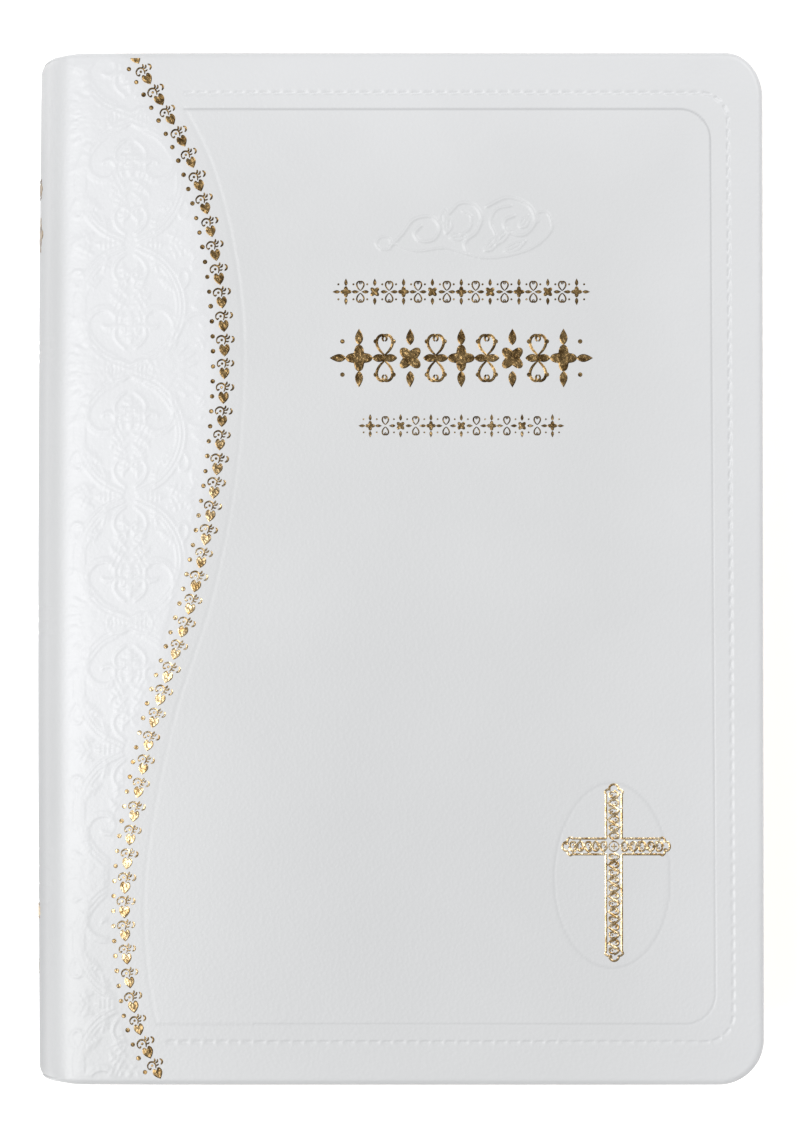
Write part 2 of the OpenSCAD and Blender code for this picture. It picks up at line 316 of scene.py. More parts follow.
def page_block():
    """Bible paper with gilt edges: paper on the leaves' faces, burnished gold lines on the edges."""
    material, tree, shader = new_material("gilt_edged_bible_paper")
    place = add(tree, "ShaderNodeTexCoord").outputs["Object"]
    edge = add(tree, "ShaderNodeAttribute", attribute_name="edge").outputs["Fac"]
    stretch = add(tree, "ShaderNodeMapping", {"Vector": place}, s_Scale=(0.02, 0.02, 1.0))
    leaves = add(tree, "ShaderNodeTexNoise", {"Vector": stretch.outputs["Vector"]},
                 s_Scale=per_mm(0.16), s_Detail=2.0)
    gilt = two_tones(tree, leaves.outputs["Fac"], "#A67C3C", "#E2BF7A")
    fibre = add(tree, "ShaderNodeTexNoise", {"Vector": place}, s_Scale=per_mm(2.5), s_Detail=5.0)
    paper = two_tones(tree, fibre.outputs["Fac"], "#EFEBDD", "#F6F3E8")
    colour = add(tree, "ShaderNodeMix", {"Factor": edge, 6: paper, 7: gilt}, data_type="RGBA")
    tree.links.new(colour.outputs[2], shader.inputs["Base Color"])
    metal = add(tree, "ShaderNodeMath", {0: edge}, operation="MULTIPLY", s_1=0.85)
    tree.links.new(metal.outputs["Value"], shader.inputs["Metallic"])
    rough = add(tree, "ShaderNodeMapRange", {"Value": edge}, s_3=0.75, s_4=0.36)
    tree.links.new(rough.outputs["Result"], shader.inputs["Roughness"])
    bump = add(tree, "ShaderNodeBump", {"Height": leaves.outputs["Fac"]},
               s_Strength=0.6, s_Distance=0.00006)
    tree.links.new(bump.outputs["Normal"], shader.inputs["Normal"])
    return material


LEATHER = leatherette()
FOIL = gold_foil()
PAGES = page_block()
ENDPAPER = plain_fibre("smooth_endpaper", "#F1EFE8", "#F7F5EF", 3.0, 0.7, 0.01)
BOARD = plain_fibre("flexible_greyboard", "#8A7660", "#A08C74", 0.8, 0.9, 0.03)
GAUZE = plain_fibre("starched_gauze", "#D8D0BC", "#EDE7D6", 0.5, 0.9, 0.05)
LINING = plain_fibre("kraft_lining_paper", "#A98E68", "#BFA47C", 1.2, 0.85, 0.02)
THREAD = plain_fibre("linen_thread", "#DCD5C4", "#EFE9DC", 0.3, 0.8, 0.03)

# ------------------------------------------------------------------ relief drawn with strokes


def two_sided(under, over, ni, nj):
    """A closed sheet from two grids of ni by nj points, joined round the rim."""
    low = np.arange(ni * nj).reshape(ni, nj)
    quads = np.stack([low[:-1, :-1], low[:-1, 1:], low[1:, 1:], low[1:, :-1]], 2).reshape(-1, 4)
    rim = np.concatenate([low[:, 0], low[-1, 1:], low[-2::-1, -1], low[0, -2:0:-1]])
    side = np.stack([rim, np.roll(rim, -1), np.roll(rim, -1) + ni * nj, rim + ni * nj], 1)
    return np.vstack([under, over]), np.vstack([quads, quads[:, ::-1] + ni * nj, side])


class Relief:
    """Heights over a rectangle of the cover. Strokes press it down or raise it."""

    def __init__(self, x0, x1, y0, y1, cell=0.1):
        """Sets up level fields over the given range, in mm."""
        self.x0, self.y0, self.cell = x0, y0, cell
        self.up = np.zeros((int((x1 - x0) / cell) + 2, int((y1 - y0) / cell) + 2))
        self.down = np.zeros_like(self.up)
        self.tone = np.zeros_like(self.up)

    def stroke(self, points, width, height):
        """Draws a ridge, or a groove if height is negative. Width may change along the stroke."""
        points = resample(points, self.cell * 0.8)
        widths = np.interp(np.linspace(0, 1, len(points)), np.linspace(0, 1, np.size(width)),
                           np.atleast_1d(width))
        field = self.up if height > 0 else self.down
        for (x, y), w in zip(points, widths):
            self.dab(field, x, y, max(w, self.cell), height)

    def paint_shade_along(self, points, width, amount):
        """Paints shade along a tooled line by darkening the leather there. The amount may change along
        it.
        """
        points = resample(points, self.cell * 0.8)
        amounts = np.interp(np.linspace(0, 1, len(points)), np.linspace(0, 1, np.size(amount)),
                            np.atleast_1d(amount))
        for (x, y), dark in zip(points, amounts):
            self.dab(self.tone, x, y, width, dark)

    def dab(self, field, x, y, width, height):
        """Puts one round, smooth bump into a field. Where bumps overlap, the larger one counts."""
        r = width / 2
        span = int(r / self.cell) + 2
        ci, cj = int((x - self.x0) / self.cell), int((y - self.y0) / self.cell)
        i0, i1 = max(ci - span, 0), min(ci + span + 1, field.shape[0])
        j0, j1 = max(cj - span, 0), min(cj + span + 1, field.shape[1])
        if i0 >= i1 or j0 >= j1:
            return
        gx = self.x0 + np.arange(i0, i1)[:, None] * self.cell - x
        gy = self.y0 + np.arange(j0, j1)[None, :] * self.cell - y
        bell = height * np.clip(1 - (gx * gx + gy * gy) / (r * r), 0, 1) ** 0.8
        part = field[i0:i1, j0:j1]
        if height > 0:
            np.maximum(part, bell, out=part)
        else:
            np.minimum(part, bell, out=part)

    def at(self, x, y):
        """Height at each point, zero outside the rectangle."""
        return self.sample(self.up + self.down, x, y)

    def sample(self, field, x, y):
        """Value of a field at each point, zero outside the rectangle."""
        gx = (np.asarray(x) - self.x0) / self.cell
        gy = (np.asarray(y) - self.y0) / self.cell
        inside = (gx >= 0) & (gy >= 0) & (gx < field.shape[0] - 1) & (gy < field.shape[1] - 1)
        gx, gy = np.where(inside, gx, 0), np.where(inside, gy, 0)
        i, j = gx.astype(int), gy.astype(int)
        fx, fy = gx - i, gy - j
        got = (field[i, j] * (1 - fx) * (1 - fy) + field[i + 1, j] * fx * (1 - fy)
               + field[i, j + 1] * (1 - fx) * fy + field[i + 1, j + 1] * fx * fy)
        return np.where(inside, got, 0)


# ------------------------------------------------------------------ drawn lines

BORDER_LINE = resample(spline([(x, share * HALF_H) for x, share in BORDER_KNOTS]), 0.2)
BORDER_ORDER = np.argsort(BORDER_LINE[:, 1])


def border_x(y):
    """Where the wavy border is at height y."""
    return np.interp(y, BORDER_LINE[BORDER_ORDER, 1], BORDER_LINE[BORDER_ORDER, 0])


def tendril(base, angle, length, turns, power=1.7, count=36):
    """A stem that winds up into a curl. Angle and turns are in whole turns, anticlockwise."""
    t = np.linspace(0, 1, count)
    heading = 2 * math.pi * (angle + turns * t ** power)
    step = length / (count - 1) * (1.3 - 0.8 * t)
    walk = np.cumsum(np.column_stack([np.cos(heading), np.sin(heading)]) * step[:, None], axis=0)
    return np.asarray(base, float) + np.vstack([[0, 0], walk[:-1]])


def leaf(base, angle, length, bend, width):
    """The two sides and the midrib of a pointed leaf, as three lines."""
    t = np.linspace(0, 1, 18)
    heading = 2 * math.pi * (angle + bend * t)
    along = np.column_stack([np.cos(heading), np.sin(heading)])
    across = np.column_stack([-along[:, 1], along[:, 0]])
    rib = np.asarray(base, float) + np.vstack([[0, 0], np.cumsum(along * length / 17, axis=0)[:-1]])
    swell = across * (width / 2 * np.sin(math.pi * t ** 0.8))[:, None]
    return [rib + swell, rib - swell, rib[2:13]]


def frond(base, angle, length, bend, lobes, width):
    """A feathery leaf: a curved rib with small curled lobes on both sides."""
    t = np.linspace(0, 1, 30)
    heading = 2 * math.pi * (angle + bend * t)
    along = np.column_stack([np.cos(heading), np.sin(heading)])
    rib = np.asarray(base, float) + np.vstack([[0, 0], np.cumsum(along * length / 29, axis=0)[:-1]])
    lines = [rib]
    for k in range(1, lobes + 1):
        at = int(29 * k / (lobes + 1))
        reach = width * math.sin(math.pi * (0.25 + 0.7 * k / (lobes + 1)))
        turn = angle + bend * t[at]
        lines.append(tendril(rib[at], turn + 0.12, reach, 0.32, 1.2, 12))
        lines.append(tendril(rib[at], turn - 0.12, reach, -0.32, 1.2, 12))
    return lines


def ring(centre, rx, ry, start=0.0, turns=1.0, count=60):
    """Part of an ellipse. Start and turns are in whole turns."""
    angle = 2 * math.pi * (start + turns * np.linspace(0, 1, count))
    return np.column_stack([centre[0] + rx * np.cos(angle), centre[1] + ry * np.sin(angle)])


def beside(line, distance):
    """The same line moved sideways, to its left if distance is positive."""
    line = np.asarray(line, float)
    along = np.gradient(line, axis=0)
    along /= np.linalg.norm(along, axis=1)[:, None]
    return line + distance * np.column_stack([-along[:, 1], along[:, 0]])


def round_frame(end_x, y_tail, y_head, r, gap):
    """Path of a frame open on the left: along the tail, round two corners, and back along the head.

    It starts and ends at the border's blind line. Its fore-edge side leans out towards the tail.
    """
    bend = np.linspace(0, math.pi / 2, 14)
    tail_x, head_x = end_x + FRAME_LEAN - r, end_x - FRAME_LEAN - r
    low = np.column_stack([tail_x + r * np.sin(bend), y_tail + r - r * np.cos(bend)])
    high = np.column_stack([head_x + r * np.cos(bend), y_head - r + r * np.sin(bend)])
    start = border_x(y_tail) + BLIND_LINE_OFFSET + gap
    finish = border_x(y_head) + BLIND_LINE_OFFSET + gap
    return np.vstack([[start, y_tail], low, high, [finish, y_head]])


def draw_frame_lines(relief):
    """The stitch-like dashes and the blind line that frame the plain panel."""
    dash_pitch, dash_length, spacing = 2.54, 1.4, 0.1
    outer = round_frame(COVER_W - 6.5, -HALF_H + 8.5, HALF_H - 8.1, 5.5, 1.0)
    run = resample(outer, spacing)
    per_pitch, per_dash = int(dash_pitch / spacing), int(dash_length / spacing)
    for first in range(0, len(run) - per_dash, per_pitch):
        depth = 0.15 + 0.11 * smooth((run[first, 1] + 70) / 90)
        relief.stroke(run[first:first + per_dash], 0.75, -depth)
    inner = round_frame(COVER_W - 10.0, FRAME_TAIL, FRAME_HEAD, 6.1, 0)
    relief.stroke(inner, 0.42, -0.1)
    # Painted shade along the blind line, darker towards the head.
    relief.paint_shade_along(inner, 0.5, (0.16, 0.14, 0.3, 0.5, 0.5))


def draw_blind_line(relief):
    """The shallow line that runs along the right of the gold border."""
    for low, high, depth in ((FRAME_TAIL, -30, -0.03), (-30, 45, -0.045), (45, FRAME_HEAD, -0.085)):
        run = np.array([(border_x(y) + BLIND_LINE_OFFSET, y) for y in np.arange(low, high + 0.4, 0.4)])
        relief.stroke(run, 0.85, depth)


def spine_lines(x, y):
    """Depth of the fine blind lines across the spine. They fade out on the shoulder."""
    depth = np.zeros_like(x)
    for line_y in SPINE_LINES:
        depth -= 0.13 * np.exp(-((y - line_y) / 0.3) ** 2)
    return depth * smooth((-1.0 - x) / 1.5)


def draw_oval(relief):
    """The faint oval round the cross, slightly egg-shaped."""
    angle = np.linspace(0, 2 * math.pi, 120)
    half_width = 11.4 * (1 - 0.04 * np.sin(angle))
    oval = np.column_stack([CROSS[0] - 0.4 + half_width * np.cos(angle),
                            CROSS[1] - 5.7 + 18.2 * np.sin(angle)])
    relief.stroke(oval, 0.6, -0.05)
    # Painted shade along the oval.
    relief.paint_shade_along(oval, 0.6, 0.18)


def damask_lines():
    """One side of one half repeat: u from the mirror line, v from the ribbon's knot."""
    ribbon = spline([(0.2, 0.2), (2.6, 1.0), (6.4, 3.0), (9.6, 7.2), (10.9, 12.6), (9.6, 18.0),
                     (6.2, 22.4), (1.6, 24.8)], 10)
    bold = [ribbon, beside(ribbon, 0.85)]
    bold += [spline([(0, 0.9), (1.8, 2.0), (3.8, 1.8), (4.4, 0.8), (4.4, 0)], 8)]
    bold += [tendril((8.0, 5.2), 0.2, 17.5, 1.0, 1.4), tendril((1.0, 23.0), -0.1, 11.5, -0.95, 1.5)]
    bold += [tendril((1.0, 4.4), 0.1, 9.0, 0.9), tendril((10.9, 10.0), 0.1, 8.5, -0.85)]
    bold += [tendril((10.4, 16.0), 0.14, 7.0, 0.8)]
    fine = [beside(ribbon, 1.6)[12:60], beside(bold[3], -0.7)[3:20]]
    fine += [spline([(u, 0), (u + 0.3, 0.7), (u, 1.5)], 5) for u in (1.2, 2.0, 2.8, 3.6)]
    for angle, length in ((0.0, 8.4), (0.035, 8.6), (0.07, 7.6), (0.105, 6.4)):
        fine += leaf((4.8, 0.4 + 7 * angle), angle, length, 0.045, 1.3)
    for v, angle in ((8.4, -0.04), (10.4, 0.01), (12.6, 0.05), (14.8, 0.1), (17.0, 0.16)):
        fine += frond((0.6, v), angle, 4.2, 0.12, 3, 1.1)
    fine += frond((0.2, 5.4), 0.24, 6.0, 0.02, 5, 1.2)
    fine += frond((8.6, 9.4), 0.1, 3.4, -0.2, 3, 1.0) + frond((8.2, 15.8), 0.3, 3.6, 0.16, 3, 1.0)
    fine += frond((5.4, 19.6), 0.32, 3.4, -0.1, 3, 1.0)
    fine += frond((7.4, 23.0), 0.05, 7.4, 0.14, 6, 1.6) + frond((2.2, 25.0), 0.0, 4.6, 0.0, 4, 1.2)
    fine += leaf((12.4, 12.6), 0.02, 5.5, 0.08, 2.0) + leaf((12.2, 20.0), 0.17, 5.6, -0.14, 1.9)
    fine += frond((13.0, 5.0), 0.05, 6.4, 0.2, 5, 1.5) + frond((13.4, 15.6), 0.06, 5.0, -0.12, 4, 1.3)
    return bold, fine


def damask():
    """Low relief of ribbons, oval wreaths, scrolls and leaves, kept inside the border."""
    relief = Relief(-1, WAVE_STRIP_END, -HALF_H, HALF_H, 0.12)
    bold, fine = damask_lines()
    for knot in DAMASK_KNOTS:
        for up in (1, -1):
            for side in (1, -1):
                move = np.array([DAMASK_MIDDLE, knot])
                turn = np.array([side, up])
                for line in bold:
                    relief.stroke(move + line * turn, 0.6, 0.16)
                for line in fine:
                    relief.stroke(move + line * turn, 0.48, 0.13)
    gx = relief.x0 + np.arange(relief.up.shape[0])[:, None] * relief.cell
    gy = relief.y0 + np.arange(relief.up.shape[1])[None, :] * relief.cell
    relief.up *= smooth((border_x(gy[0])[None, :] - 2.9 - gx) / 1.4) * smooth((gx - 0.8) / 2.2)
    return relief


def flourish_lines():
    """The blind flourish over the ornament panel: strokes with the width of each."""
    thin, thick = 0.45, 0.75
    lines = [
        (spline([(65.0, 63.0), (63.2, 62.9), (62.2, 64.2), (63.2, 65.4), (64.9, 65.0),
                 (65.2, 63.7)]), thin),
        (spline([(64.9, 63.4), (67.2, 65.8), (69.6, 68.8), (73.0, 69.4), (74.8, 67.2), (73.4, 64.8),
                 (70.8, 64.6), (69.8, 66.2), (71.0, 67.6)]), thick),
        (spline([(65.6, 64.0), (70.2, 62.6), (75.6, 63.2), (80.0, 62.0), (83.4, 61.2)]), thin),
        (spline([(76.4, 69.8), (78.6, 72.0), (81.4, 71.8), (83.0, 69.4), (82.0, 66.4), (79.8, 64.4),
                 (80.2, 62.0)]), thick),
        (spline([(79.2, 70.6), (81.0, 69.4), (80.6, 67.0), (78.6, 65.6)]), thin),
        (spline([(83.0, 61.2), (88.0, 61.6), (93.4, 63.4), (96.8, 66.8), (96.2, 70.0), (94.2, 70.2),
                 (94.2, 68.4)]), thin),
        (spline([(84.0, 71.4), (88.2, 73.2), (92.4, 71.6), (93.6, 68.4), (91.4, 65.8), (88.2, 66.4),
                 (87.6, 68.6), (89.4, 69.6)]), thick),
        (spline([(84.2, 62.8), (85.8, 65.4), (84.8, 68.4), (86.0, 70.8), (88.8, 71.6)]), thin),
    ]
    for base, angle, length, bend in (((76.0, 66.0), 0.2, 4.2, 0.1), ((76.8, 65.2), 0.05, 3.6, -0.1),
                                      ((75.8, 67.4), 0.3, 3.6, -0.12), ((83.6, 62.6), 0.1, 4.6, 0.06),
                                      ((85.8, 63.8), 0.16, 4.4, -0.08), ((87.6, 62.6), 0.05, 4.6, 0.05),
                                      ((90.6, 67.2), 0.12, 3.0, 0.1)):
        lines += [(line, 0.4) for line in leaf(base, angle, length, bend, 1.5)]
    return lines


def draw_flourish(relief):
    """Raises the flourish's strokes."""
    for line, width in flourish_lines():
        relief.stroke(line, width, FLOURISH_RISE)


# ------------------------------------------------------------------ leather shell

def leather_path():
    """Cross-section of the leather, from mid-spine over the shoulder to the fore-edge: x, z."""
    centre_x = SPINE_LOW[0] + SPINE_R
    rise = np.linspace(0, SHOULDER_START, 40)
    arc = np.column_stack([centre_x - np.sqrt(SPINE_R ** 2 - rise ** 2), MID_Z + rise])
    start = arc[-1]
    along = np.array([SHOULDER_START, centre_x - start[0]]) / SPINE_R
    flat_x = np.linspace(SHOULDER_END, COVER_W, 300)
    sink = CROWN_DROP * np.clip((CROWN_W - flat_x) / CROWN_W, 0, 1) ** 2
    flat = np.column_stack([flat_x, TOP_Z - sink])
    end, slope = flat[0], (flat[1] - flat[0]) / np.linalg.norm(flat[1] - flat[0])
    reach_up = 0.62 * (end[1] - start[1]) / along[1]
    reach_side = 0.62 * (end[0] - start[0])
    b, c = start + along * reach_up, end - slope * reach_side
    t = np.linspace(0, 1, 60)[1:-1, None]
    bend = (1 - t) ** 3 * start + 3 * (1 - t) ** 2 * t * b + 3 * (1 - t) * t ** 2 * c + t ** 3 * end
    return np.vstack([arc, bend, flat])


PATH = resample(leather_path(), 0.05)
PATH_RUN = np.arange(len(PATH)) * np.linalg.norm(PATH[1] - PATH[0])
PATH_SLOPE = np.gradient(PATH, axis=0)
PATH_SLOPE /= np.linalg.norm(PATH_SLOPE, axis=1)[:, None]


def run_at_x(x):
    """Distance along the leather's cross-section at which it passes x on the cover."""
    cover = PATH[:, 0] > 0.5
    return float(np.interp(x, PATH[cover, 0], PATH_RUN[cover]))


def surface_z(x):
    """Height of the cover's outer face at x, before any relief."""
    cover = PATH[:, 0] > -1
    return np.interp(x, PATH[cover, 0], PATH[cover, 1])


def spine_draw_in(x, y):
    """How far the leather moves in at the spine: a little towards the ends, and round the last of it."""
    far = np.abs(y) / HALF_H
    past = np.clip((np.abs(y) - (HALF_H - SPINE_END_R)) / SPINE_END_R, 0, 0.999)
    end_round = SPINE_END_R * (1 - np.sqrt(1 - past ** 2))
    return smooth((2.5 - x) / 7.5) * (SPINE_BOW * far ** 2 + end_round)


def stations(step, fine_zones=()):
    """Heights from tail to head at an even step, closer together in the fine zones."""
    cuts = [-HALF_H, HALF_H]
    for low, high, _ in fine_zones:
        cuts += [low, high]
    cuts = sorted(cuts)
    rows = []
    for low, high in zip(cuts[:-1], cuts[1:]):
        middle = (low + high) / 2
        near = [spacing for a, b, spacing in fine_zones if a < middle < b] or [step]
        rows += list(np.linspace(low, high, int(math.ceil((high - low) / near[0])) + 1)[:-1])
    return np.array(rows + [HALF_H])


def turned_in_edges(paths, grid, normals, outward, edge_r, index, faces):
    """Adds the leather that rolls over the sheet's free edges and turns in under them."""
    points, all_faces = [grid.reshape(-1, 3)], [faces]
    total = index.size
    for path in paths:
        ii, jj = np.array(path).T
        base, n, o = grid[ii, jj], normals[ii, jj], outward[ii, jj]
        e = edge_r[ii][:, None]
        rings = [base + o * e * math.sin(q) - n * e * (1 - math.cos(q))
                 for q in np.linspace(0, math.pi, 9)[1:]]
        rings += [base - n * 2 * e - o * d for d in (1.5, 4.5, 7.0)]
        before = index[ii, jj]
        for ring_points in rings:
            now = total + np.arange(len(path))
            points.append(ring_points)
            total += len(path)
            all_faces.append(np.stack([before[:-1], now[:-1], now[1:], before[1:]], 1))
            before = now
    return points, all_faces


def lightening_and_painted_shade(points, relief, front):
    """How much lighter the leather is at each point, inside the border and as a painted highlight
    towards the head and the fore-edge, and how much painted shade it has along the spine, low in the
    middle of the cover and in the tooled lines.
    """
    x, y = points[:, 0], points[:, 1]
    # Lighter leather inside the border, on the cover.
    by_border = smooth((border_x(y) + 1.5 - x) / 6)
    on_cover = smooth((x + 1.0) / 3) * smooth((y + 85) / 60)
    # Painted highlight: lighter towards the fore-edge and towards the head.
    by_edge = 0.5 * smooth((x - 105) / 34)
    by_head = 0.55 * smooth((y - 62) / 42)
    panel_and_painted_highlight_mask = np.maximum(by_border * on_cover, np.maximum(by_edge, by_head))
    lightened_with_painted_highlight = panel_and_painted_highlight_mask if front else np.zeros(len(points))
    # Painted shade: darker along the spine and a little darker low in the middle of the cover.
    low_middle = np.exp(-((x - 62) / 34) ** 2 - ((y + 58) / 52) ** 2)
    on_spine_side = smooth((1 - x) / 7) ** 2 * (0.85 + 0.35 * smooth(-y / 80))
    painted_shade_amount = np.maximum(on_spine_side, 0.11 * low_middle)
    # Painted shade along the tooled lines.
    if relief is not None:
        painted_shade_amount = np.maximum(painted_shade_amount, relief.sample(relief.tone, x, y))
    return lightened_with_painted_highlight, painted_shade_amount


def shell(name, runs, y_step, relief, front, material, y_fine=()):
    """A strip of cover leather with its rounded, turned-in edges.

    runs are distances along the cross-section. The strip takes in the fore-edge, with its
    round corners, if it reaches the cover's full width.
    """
    x = np.interp(runs, PATH_RUN, PATH[:, 0])
    z = np.interp(runs, PATH_RUN, PATH[:, 1])
    slope = np.column_stack([np.interp(runs, PATH_RUN, PATH_SLOPE[:, k]) for k in (0, 1)])
    normal = np.column_stack([-slope[:, 1], np.zeros(len(x)), slope[:, 0]])
    edge_r = (SPINE_SKIN_T + (LEATHER_T - SPINE_SKIN_T) * smooth((x + 2) / 6)) / 2
    whole = x[-1] > COVER_W - LEATHER_T
    if whole:
        x = np.minimum(x, COVER_W - LEATHER_T / 2)
    half = HALF_H - edge_r
    share = stations(y_step, y_fine) / HALF_H
    gx = np.repeat(x[:, None], len(share), 1)
    gy = share[None, :] * half[:, None]
    r = CORNER_R - LEATHER_T / 2
    r_across = np.where(gy > 0, HEAD_CORNER_W - LEATHER_T / 2, r)
    corner_x, corner_y = COVER_W - LEATHER_T / 2 - r_across, HALF_H - CORNER_R
    a = np.clip((gx - corner_x) / r_across, 0, 1)
    b = np.clip((np.abs(gy) - corner_y) / r, 0, 1)
    gx = np.where(a > 0, corner_x + r_across * a * np.sqrt(1 - b * b / 2), gx)
    gy = np.where(b > 0, np.sign(gy) * (corner_y + r * b * np.sqrt(1 - a * a / 2)), gy)
    outward = np.zeros(gx.shape + (3,))
    outward[..., 0] = np.where(a > 0, gx - corner_x, 0)
    outward[..., 1] = np.where(a > 0, np.sign(gy) * np.clip(np.abs(gy) - corner_y, 0, None), np.sign(gy))
    length = np.linalg.norm(outward, axis=2, keepdims=True)
    outward = outward / np.where(length > 1e-9, length, 1)
    height = relief.at(gx, gy) if relief else np.zeros_like(gx)
    height = height + spine_lines(gx, gy)
    inset = np.minimum(HALF_H - np.abs(gy), COVER_W - gx)
    height = height * smooth((inset - LEATHER_T / 2) / 1.2)
    normals = np.repeat(normal[:, None, :], len(share), 1)
    grid = np.stack([gx, gy, np.repeat(z[:, None], len(share), 1)], axis=2) + normals * height[..., None]
    grid[..., 0] += spine_draw_in(gx, gy)

    ni, nj = gx.shape
    index = np.arange(ni * nj).reshape(ni, nj)
    faces = np.stack([index[:-1, :-1], index[1:, :-1], index[1:, 1:], index[:-1, 1:]], 2).reshape(-1, 4)
    tail = [(i, 0) for i in range(ni)]
    head = [(i, nj - 1) for i in range(ni)]
    fore = [(ni - 1, j) for j in range(1, nj - 1)]
    paths = [tail + fore + head[::-1]] if whole else [tail, head[::-1]]
    points, all_faces = turned_in_edges(paths, grid, normals, outward, edge_r, index, faces)
    points = np.vstack(points)
    faces = np.vstack(all_faces)
    lightened_with_painted_highlight, painted_shade_amount = lightening_and_painted_shade(points, relief, front)
    if not front:
        points[:, 2] = TOP_Z - points[:, 2]
        faces = faces[:, ::-1]
    made = to_mesh(name, points, faces, material)
    store(made, "lighter_panel_and_painted_highlight", lightened_with_painted_highlight)
    store(made, "painted_shade", painted_shade_amount)
    return made


def steps(stops):
    """Distances along the cross-section, with its own spacing in each stretch."""
    runs = []
    for (start, spacing), (end, _) in zip(stops[:-1], stops[1:]):
        runs += list(np.linspace(start, end, max(2, int(round((end - start) / spacing)) + 1))[:-1])
    return np.array(runs + [stops[-1][0]])


# ------------------------------------------------------------------ ornaments in foil

def turned(points, turns):
    """Points turned about the origin, in whole turns."""
    c, s = math.cos(2 * math.pi * turns), math.sin(2 * math.pi * turns)
    return np.asarray(points, float) @ np.array([[c, s], [-s, c]])


def heart_outline(half_width, height):
    """A heart with its point to the tail, centred on its middle."""
    side = spline([(0, 0.30), (0.42, 0.50), (0.86, 0.38), (1.0, 0.06), (0.62, -0.24), (0.2, -0.42),
                   (0, -0.5)], 4)
    both = np.vstack([side, (side * [-1, 1])[::-1][1:-1]])
    return both * [half_width, height]


def motif_shapes():
    """One step of the border: filled outlines and tapering strokes round a heart."""
    fills = [heart_outline(1.0, 2.4), dot((-0.46, 1.98), 0.26, 10)]
    strokes = [
        (spline([(-1.45, 1.7), (-1.32, 2.35), (-0.62, 2.78), (0.1, 2.5), (0.26, 1.85),
                 (0.02, 1.15)], 6), 0.37),
        (spline([(-1.45, 1.7), (-1.12, 1.42), (-0.84, 1.66)], 6), 0.37),
        (spline([(0.1, 2.5), (0.48, 2.66), (0.58, 3.15)], 6), 0.4),
        (spline([(0.4, 2.2), (0.86, 2.3), (1.08, 2.75)], 6), 0.38),
        (spline([(0.3, 1.72), (0.6, 1.62), (0.92, 1.74)], 6), 0.32),
        (spline([(1.28, 1.45), (1.72, 1.75), (1.82, 2.25), (1.5, 2.66)], 6), 0.42),
    ]
    return fills, strokes


def crosslet(size):
    """Outline of a small equal-armed ornament with pinched sides."""
    angle = np.linspace(0, 2 * math.pi, 48, endpoint=False)
    r = size * (0.55 + 0.45 * np.abs(np.cos(2 * angle)) ** 1.6)
    return np.column_stack([r * np.cos(angle), r * np.sin(angle)])


def dot(centre, r, sides=12):
    """Outline of a round dot."""
    angle = np.linspace(0, 2 * math.pi, sides, endpoint=False)
    return np.asarray(centre, float) + r * np.column_stack([np.cos(angle), np.sin(angle)])


class FoilMesh:
    """Gathers thin shapes that lie on a surface. place(u, v, lift) gives points on that surface."""

    def __init__(self, place, thickness=FOIL_T):
        """Starts with nothing stamped."""
        self.place = place
        self.thickness = thickness
        self.parts, self.faces, self.count, self.layer = [], [], 0, 0

    def keep(self, top, base, faces):
        """Adds the points and faces of one shape, and moves on to the next layer."""
        self.parts += [top, base]
        self.faces += [[self.count + k for k in face] for face in faces]
        self.count += len(top) + len(base)
        self.layer = (self.layer + 1) % 7

    def lifts(self):
        """Each shape is a few microns over the one before, so crossings stay clean."""
        return self.thickness + 0.003 * self.layer

    def fill(self, outline):
        """A filled shape from an outline, with a sloping rim all round."""
        outline = np.asarray(outline, float)
        nxt = np.roll(outline, -1, axis=0)
        if np.sum(outline[:, 0] * nxt[:, 1] - outline[:, 1] * nxt[:, 0]) < 0:
            outline = outline[::-1]
        n = len(outline)
        middle = outline.mean(axis=0)
        inner = middle + (outline - middle) * FOIL_RIM
        top = self.place(inner[:, 0], inner[:, 1], self.lifts())
        rim = self.place(outline[:, 0], outline[:, 1], 0.008)
        base = self.place(outline[:, 0], outline[:, 1], -0.03)
        ring_on = [(k + 1) % n for k in range(n)]
        faces = [list(range(n)), list(range(3 * n - 1, 2 * n - 1, -1))]
        faces += [[k, n + k, n + ring_on[k], ring_on[k]] for k in range(n)]
        faces += [[n + k, 2 * n + k, 2 * n + ring_on[k], n + ring_on[k]] for k in range(n)]
        self.keep(top, np.vstack([rim, base]), faces)

    def stroke(self, line, width, taper=0.45, spacing=0.22):
        """A line of foil with a low ridge along it, thinning towards both ends."""
        line = resample(line, spacing)
        n = len(line)
        t = np.linspace(0, 1, n)
        half = width / 2 * (taper + (1 - taper) * np.sin(math.pi * t) ** 0.6)
        along = np.gradient(line, axis=0)
        along /= np.linalg.norm(along, axis=1)[:, None] + 1e-9
        across = np.column_stack([-along[:, 1], along[:, 0]]) * half[:, None]
        rows = []
        for side, lift in ((1, -0.03), (1, 0.008), (0.15, self.lifts()), (-0.15, self.lifts()),
                           (-1, 0.008), (-1, -0.03)):
            edge = line + across * side
            rows.append(self.place(edge[:, 0], edge[:, 1], lift))
        points = np.stack(rows, axis=1).reshape(-1, 3)
        faces = []
        for k in range(n - 1):
            for j in range(6):
                a, b = 6 * k + j, 6 * k + (j + 1) % 6
                faces.append([a, a + 6, b + 6, b])
        faces += [list(range(6)), list(range(6 * n - 1, 6 * n - 7, -1))]
        self.keep(points[:0], points, faces)

    def finish(self, name):
        """One object from everything gathered."""
        return to_mesh(name, np.vstack(self.parts), self.faces, FOIL, False)


def on_leather(relief):
    """Placing function for the cover's outer face."""
    def place(u, v, lift):
        """Points over the leather's relief."""
        u, v = np.asarray(u, float), np.asarray(v, float)
        return np.column_stack([u, v, surface_z(u) + relief.at(u, v) + lift])
    return place


